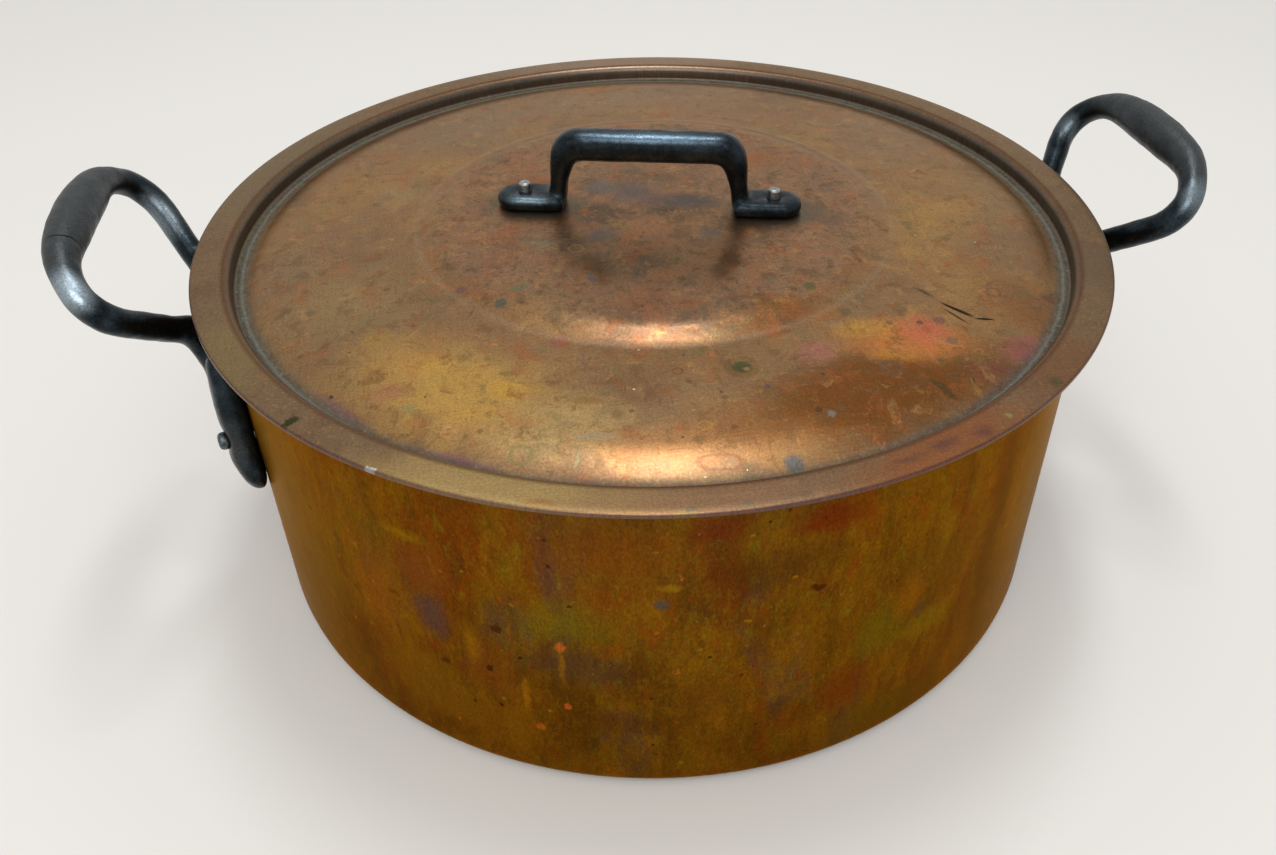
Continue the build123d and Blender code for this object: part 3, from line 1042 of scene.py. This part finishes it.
    stains = [
        (9, -90.6, 4.2, 4.2, 0, "#4d5135", 0.9, 0.6),
        (10, -91.5, 1.2, 1.2, 0, "#ae8153", 0.8, 0.7),
        (14, -99.8, 1.1, 1.1, 0, "#5c5858", 0.9, 0.5),
        (-1.3, -82, 3.4, 3.4, 0, "#786b4a", 0.5, 0.6),
        (19.4, -85.4, 2.3, 2.3, 0, "#745d43", 0.6, 0.6),
        (45.3, -69, 2.3, 2.3, 0, "#6e654a", 0.75, 0.4),
        (26.8, -72.4, 3.3, 2.0, 0, "#735440", 0.7, 0.4),
        (37, -58, 2.5, 2.5, 0, "#61613d", 0.8, 0.5),
        (27, -51.5, 2.6, 1.6, -10, "#736d4c", 0.6, 0.6),
        (71.2, -76.8, 2.2, 2.2, 0, "#835a51", 0.75, 0.35),
        (65.2, -77, 1.4, 1.4, 0, "#76524c", 0.8, 0.4),
        (71.3, -86.8, 2.2, 2.2, 0, "#806a55", 0.75, 0.4),
        (61.3, -107.3, 6.2, 1.9, -58, "#51442b", 0.75, 0.6),
        (110.4, -67, 3, 3, 0, "#7d5248", 0.7, 0.6),
        (13.8, -128.6, 3.5, 3.5, 0, "#5e6366", 0.8, 0.6),
        (27.8, -113.7, 1.6, 1.6, 0, "#857f74", 0.8, 0.5),
        (24.9, -111.6, 1.4, 1.4, 0, "#533e2b", 0.8, 0.5),
        (-101.6, -79.2, 0.9, 0.9, 0, "#513548", 0.9, 0.5),
        (-80.7, -90.8, 2.1, 2.1, 0, "#968c5e", 0.6, 0.5),
        (-39.4, -118.6, 3.3, 0.8, 62, "#928663", 0.8, 0.5),
        (-54, -49.5, 2.4, 2.4, 0, "#5d6153", 0.85, 0.5),
        (-48.4, -44.3, 4.4, 2.2, 25, "#717555", 0.7, 0.6),
        (-65, -38.5, 2.4, 2.4, 0, "#745863", 0.6, 0.7),
        (-39.1, -70.3, 3.8, 3.8, 0, "#986353", 0.7, 0.6),
        (-34.4, -97.2, 6, 2.6, -11, "#8f6c3d", 0.7, 0.7),
        (-34.4, -111.7, 8, 1.9, -10, "#a49276", 0.7, 0.7),
        (-26.4, -42, 1.4, 3.0, 0, "#606976", 0.6, 0.7),
        (72, -61.9, 5, 1.2, -55, "#50412d", 0.8, 0.8),
        (-62.9, -50.8, 4.4, 0.3, 64, "#614736", 0.7, 0.6),
        (-25.7, -72.5, 13, 0.25, 12, "#674b36", 0.6, 0.7),
        (-5.5, -69.2, 13, 0.25, 46, "#674b36", 0.6, 0.7),
        (-70, -111, 22, 2.2, -32, "#805863", 0.7, 0.9),
        (-100, -84, 18, 2.4, -50, "#805a64", 0.6, 0.9),
    ]
    colour = lay_marks(material, colour, near, on_lid(stains))
    ring_stains = [
        (-53.2, -114, 3.4, 3.4, 0, "#82794b", 0.68, 0.7),
        (-71, -102, 2.0, 2.0, 0, "#ce9162", 0.52, 0.8),
        (-8.8, -89.4, 1.7, 1.7, 0, "#714f2c", 0.6, 0.8),
        (49.7, -96.7, 3.6, 3.6, 0, "#735843", 0.64, 0.7),
        (93.3, -64.3, 2.8, 2.8, 0, "#755732", 0.6, 0.8),
        (-5.8, -112.6, 2.3, 2.3, 0, "#bd9143", 0.52, 0.8),
        (6, -114, 1.5, 1.5, 0, "#b9873d", 0.45, 0.8),
        (-28.9, -23.5, 2.7, 2.7, 0, "#ab9c74", 0.52, 0.8),
        (-4.6, -125.7, 7, 2.8, -8, "#824f37", 0.52, 0.8),
        (9, -90.6, 5.3, 5.3, 0, "#705831", 0.45, 0.8),
        (60, -27, 3.2, 3.2, 0, "#7d5d3a", 0.45, 0.8),
        (-14, -58, 2.4, 2.4, 0, "#804f31", 0.45, 0.8),
    ]
    colour = lay_marks(material, colour, near, on_lid(ring_stains), hollow=True)
    scratches = [
        (78.4, -72.1, 7.4, 0.8, -52, "#1d1410", 1.0, 0.5),
        (84.9, -77.8, 3.6, 0.7, -12, "#1d1410", 1.0, 0.5),
        (76.9, -75.1, 6.6, 0.55, -62, "#2b1c14", 0.9, 0.6),
        (80.2, -73.4, 5.2, 0.5, -50, "#2b1c14", 0.8, 0.6),
    ]
    colour = lay_marks(material, colour, flat, on_lid(scratches))
    specks = [
        (10, 2.3, 0.30, "#6e5c3e", 0.45),
        (13, 3.0, 0.25, "#9e5b38", 0.40),
        (8, 1.3, 0.22, "#5f4e36", 0.55),
        (7, 0.55, 0.30, "#533a29", 0.85),
        (12, 0.9, 0.18, "#635a4e", 0.75),
        (9, 0.32, 0.3, "#ecd5a6", 0.8),
        (11, 0.45, 0.22, "#edd5ad", 0.85),
        (17, 2.0, 0.20, "#765a40", 0.45),
    ]
    colour = scatter_dots(material, colour, near, specks)
    brim_clouds = [
        (18, 0.50, 0.66, "#765744", 0.6),
        (8, 0.54, 0.66, "#98764f", 0.55),
        (3, 0.55, 0.66, "#66503f", 0.5),
        (1.6, 0.55, 0.63, "#5d4838", 0.4),
        (1.2, 0.57, 0.64, "#b5966b", 0.4),
    ]
    brim = lay_clouds(material, linear("#82694f"), near, brim_clouds)
    brim_patches = [
        (-55, -134, 62, 24, -22, "#b29661", 0.85, 0.7),
        (-15, -143, 44, 14, -5, "#977355", 0.8, 0.8),
        (-25, -147, 34, 5, -10, "#ab8f44", 0.8, 0.8),
        (-128, -60, 20, 50, -20, "#8a7550", 0.8, 0.8),
        (50, -134, 44, 16, 22, "#945c37", 0.85, 0.8),
        (95, -107, 26, 16, 45, "#82593d", 0.7, 0.8),
        (128, -55, 16, 40, 20, "#725e4a", 0.7, 0.8),
        (-125, 60, 20, 70, -25, "#7d6d54", 0.8, 0.8),
        (20, 140, 90, 16, 0, "#a08a77", 0.7, 0.8),
    ]
    brim = lay_marks(material, brim, wide, on_lid(brim_patches))
    brim_stains = [
        (-110.2, -94.5, 4.2, 1.8, 35, "#383b1e", 0.95, 0.5),
        (-90, -116.6, 2.0, 1.2, -38, "#e5e2df", 1.0, 0.3),
        (50.9, -132.9, 7, 3.2, 20, "#684540", 0.75, 0.9),
        (62.8, -129.8, 4.4, 4.4, 0, "#6c4840", 0.7, 0.8),
        (40, -137, 9, 2, 16, "#6a4a40", 0.6, 0.9),
        (71.8, -124.7, 1.4, 1.4, 0, "#969556", 0.8, 0.5),
        (90, -113, 3, 3, 0, "#52513b", 0.7, 0.7),
        (-16, -145, 1.9, 1.9, 0, "#746e5a", 0.7, 0.5),
        (-2, -145.5, 1.2, 1.2, 0, "#746e5a", 0.7, 0.5),
        (-50, -136, 6, 1.5, -20, "#a47344", 0.7, 0.7),
    ]
    brim_place = stir(material, flat, size=4, amount=6, flat=True)
    brim = lay_marks(material, brim, brim_place, on_lid(brim_stains))
    from_axis = add_node(material, "ShaderNodeVectorMath", {0: flat}, operation="LENGTH").outputs["Value"]
    on_brim = add_node(
        material,
        "ShaderNodeMapRange",
        {"Value": from_axis, "From Min": groove_wall_radius, "From Max": groove_wall_radius + brim_blend},
    )
    colour = add_node(
        material, "ShaderNodeMix", {0: on_brim.outputs["Result"], 6: colour, 7: brim}, data_type="RGBA"
    ).outputs[2]
    bands = [
        (boss_foot_radius + 0.5 * mm, 1.6 * mm, "#a8937a", 0.24),
        # A dark grey band on the groove's outer wall: partly grime, partly painted shade under the brim's
        # inner edge.
        (groove_wall_radius + 0.1 * mm, 1.5 * mm, "#504e4a", 0.95),
        (groove_wall_radius + 2.0 * mm, 1.3 * mm, "#55311f", 0.7),
        (brim_radius + 0.1 * mm, 0.9 * mm, "#563c40", 0.8),
    ]
    for radius, half_width, hue, cover in bands:
        off_band = add_node(material, "ShaderNodeMath", {0: from_axis, 1: radius}, operation="SUBTRACT")
        distance = add_node(material, "ShaderNodeMath", {0: off_band.outputs["Value"]}, operation="ABSOLUTE")
        mask = add_node(
            material,
            "ShaderNodeMapRange",
            {"Value": distance.outputs["Value"], "From Min": half_width, "From Max": 0, "To Max": cover},
        )
        colour = add_node(
            material,
            "ShaderNodeMix",
            {0: mask.outputs["Result"], 6: colour, 7: linear(hue)},
            data_type="RGBA",
        ).outputs[2]
    grime_place = stir(material, spot, size=5, amount=1.6)
    grime_place = add_node(
        material, "ShaderNodeVectorMath", {0: grime_place, 1: (1, 1, 0)}, operation="MULTIPLY"
    ).outputs["Vector"]
    stirred_axis = add_node(
        material, "ShaderNodeVectorMath", {0: grime_place}, operation="LENGTH"
    ).outputs["Value"]
    grime = add_node(
        material,
        "ShaderNodeMapRange",
        {"Value": stirred_axis, "From Min": grime_from, "From Max": grime_full, "To Max": grime_cover},
        interpolation_type="SMOOTHSTEP",
    ).outputs["Result"]
    below_brim = add_node(
        material,
        "ShaderNodeMapRange",
        {"Value": from_axis, "From Min": groove_wall_radius, "From Max": groove_wall_radius - wall_blend},
    ).outputs["Result"]
    grime = add_node(
        material, "ShaderNodeMath", {0: grime, 1: below_brim}, operation="MULTIPLY"
    ).outputs["Value"]
    off_line = add_node(
        material, "ShaderNodeMath", {0: stirred_axis, 1: dried_line_radius}, operation="SUBTRACT"
    )
    line_distance = add_node(material, "ShaderNodeMath", {0: off_line.outputs["Value"]}, operation="ABSOLUTE")
    dried_line = add_node(
        material,
        "ShaderNodeMapRange",
        {
            "Value": line_distance.outputs["Value"],
            "From Min": dried_line_half_width,
            "From Max": 0,
            "To Max": dried_line_cover,
        },
    ).outputs["Result"]
    grime_clouds = [
        (11, 0.5, 0.62, "#4a3f36", 0.6),
        (4, 0.5, 0.6, "#22261f", 0.65),
        (1.6, 0.52, 0.6, "#2a2d28", 0.6),
        (1.1, 0.56, 0.64, "#8f948a", 0.5),
    ]
    grime_tone = lay_clouds(material, linear("#42473f"), near, grime_clouds)
    grime_tone = add_node(
        material, "ShaderNodeMix", {0: dried_line, 6: grime_tone, 7: linear("#8d9189")}, data_type="RGBA"
    ).outputs[2]
    colour = add_node(
        material, "ShaderNodeMix", {0: grime, 6: colour, 7: grime_tone}, data_type="RGBA"
    ).outputs[2]
    colour = grain_over(material, colour, flat, size=0.7, stretch=(1, 1, 1), depth=0.16)
    for rubbed_along in ((1, 0.05, 1), (0.05, 1, 1)):
        colour = grain_over(material, colour, spot, size=0.6, stretch=rubbed_along, depth=0.045)
    metal_left = add_node(
        material,
        "ShaderNodeMapRange",
        {"Value": grime, "From Max": grime_cover, "To Min": 0.95, "To Max": 0.2},
    )
    gloss = add_node(
        material,
        "ShaderNodeMapRange",
        {"Value": clouds.outputs["Fac"], "From Min": 0.3, "From Max": 0.7, "To Min": 0.30, "To Max": 0.40},
    )
    dulled = add_node(
        material,
        "ShaderNodeMath",
        {0: grime, 1: grime_extra_roughness, 2: gloss.outputs["Result"]},
        operation="MULTIPLY_ADD",
    )
    finish = {
        "Base Color": colour,
        "Metallic": metal_left.outputs["Result"],
        "Specular Tint": linear("#fff4e6"),
        "Roughness": dulled.outputs["Value"],
        "Normal": fine_relief(material, flat, copper_grain, depth=0.05 * mm, strength=0.3),
    }
    fill_inputs(material, shader, finish)
    return material


dress(lid, copper_lid_material())
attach(lid, "lid")
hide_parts("lid_disc")

# Tin lining of the lid: the same tin, wiped over the hot underside of the lid by hand. It reaches as far out
# as the skirt that drops into the pot.
dress(nodes["lid_tin_lining"], tin)

# Lid handle: a bow of the same black iron, cast in one with its two round-ended feet. The feet lie flat on
# the boss, with one rivet through each.
bar_smoothing, foot_smoothing, bow_softening = 90, 45, 14
bow_ripple = 0.3 * mm
bar_foot, bar_full = 131 * mm, 138 * mm
bar_swelling = 0.95 * mm
bar_drop = 0.95 * mm
foot_top, foot_full = 129 * mm, 125 * mm
foot_swelling = 0.45 * mm
bow = soft_copy(
    "lid_handle",
    "iron_bow",
    iron_cell,
    [
        (
            "bar",
            lambda place: (place.z - bar_foot) / (bar_full - bar_foot),
            [smooth(bar_smoothing), swell(bar_swelling), swell(-bar_drop, "Z")],
        ),
        (
            "feet",
            lambda place: (foot_top - place.z) / (foot_top - foot_full),
            [smooth(foot_smoothing), swell(foot_swelling)],
        ),
    ],
    softening=bow_softening,
    ripple=bow_ripple,
    ripple_level=even_ripple,
)
dress(bow, iron)
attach(bow, "lid")
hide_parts("lid_handle")

# Lid rivets: one steel rivet through each foot of the bow and the lid. Its hammered end stands proud of the
# iron and is given a brighter steel than the side rivets.
lid_rivet_softening = 10
bright_steel = steel_material("steel_rivet_bright", "#8a8b8c", "#b9babb")
for node_name in list(nodes):
    if node_name.startswith("lid_rivet"):
        rivet = soft_copy(
            node_name,
            "steel_" + node_name,
            rivet_cell,
            [],
            softening=lid_rivet_softening,
            ripple=rivet_skin,
            ripple_level=even_ripple,
        )
        dress(rivet, bright_steel)
        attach(rivet, "lid")
        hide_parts(node_name)

# Studio: a wide pale floor, a narrow soft lamp overhead, just beyond the pot, a wide one behind the camera,
# and a pale room all round.
floor_half = 3.0
room_level = 0.74
lamps = [
    ("overhead_lamp", Vector((0.05, 0.22, 1.35)), 0.2, 0.5, 4.2),
    ("front_lamp", Vector((-0.25, -0.95, 1.15)), 0.9, 0.9, 7),
]

bpy.ops.object.select_all(action="DESELECT")
bpy.ops.mesh.primitive_plane_add(size=2 * floor_half, location=(0, 0, 0))
floor = bpy.context.object
floor.name = floor.data.name = "floor"
paper, paper_shader = new_material("paper_floor_pale")
fill_inputs(paper, paper_shader, {"Base Color": linear("#e9e7e3"), "Roughness": 0.9})
dress(floor, paper)

for name, place, width, depth, watts in lamps:
    lamp_data = bpy.data.lights.new(name, "AREA")
    lamp_data.shape = "RECTANGLE"
    lamp_data.size, lamp_data.size_y = width, depth
    lamp_data.energy = watts
    lamp = bpy.data.objects.new(name, lamp_data)
    lamp.matrix_world = Matrix.Translation(place) @ place.to_track_quat("Z", "Y").to_matrix().to_4x4()
    bpy.context.scene.collection.objects.link(lamp)

room = bpy.data.worlds.new("pale_room")
room.use_nodes = True
background = room.node_tree.nodes["Background"]
background.inputs["Color"].default_value = linear("#f4f3f1")
background.inputs["Strength"].default_value = room_level
bpy.context.scene.world = room
bpy.context.scene.view_settings.view_transform = "Standard"
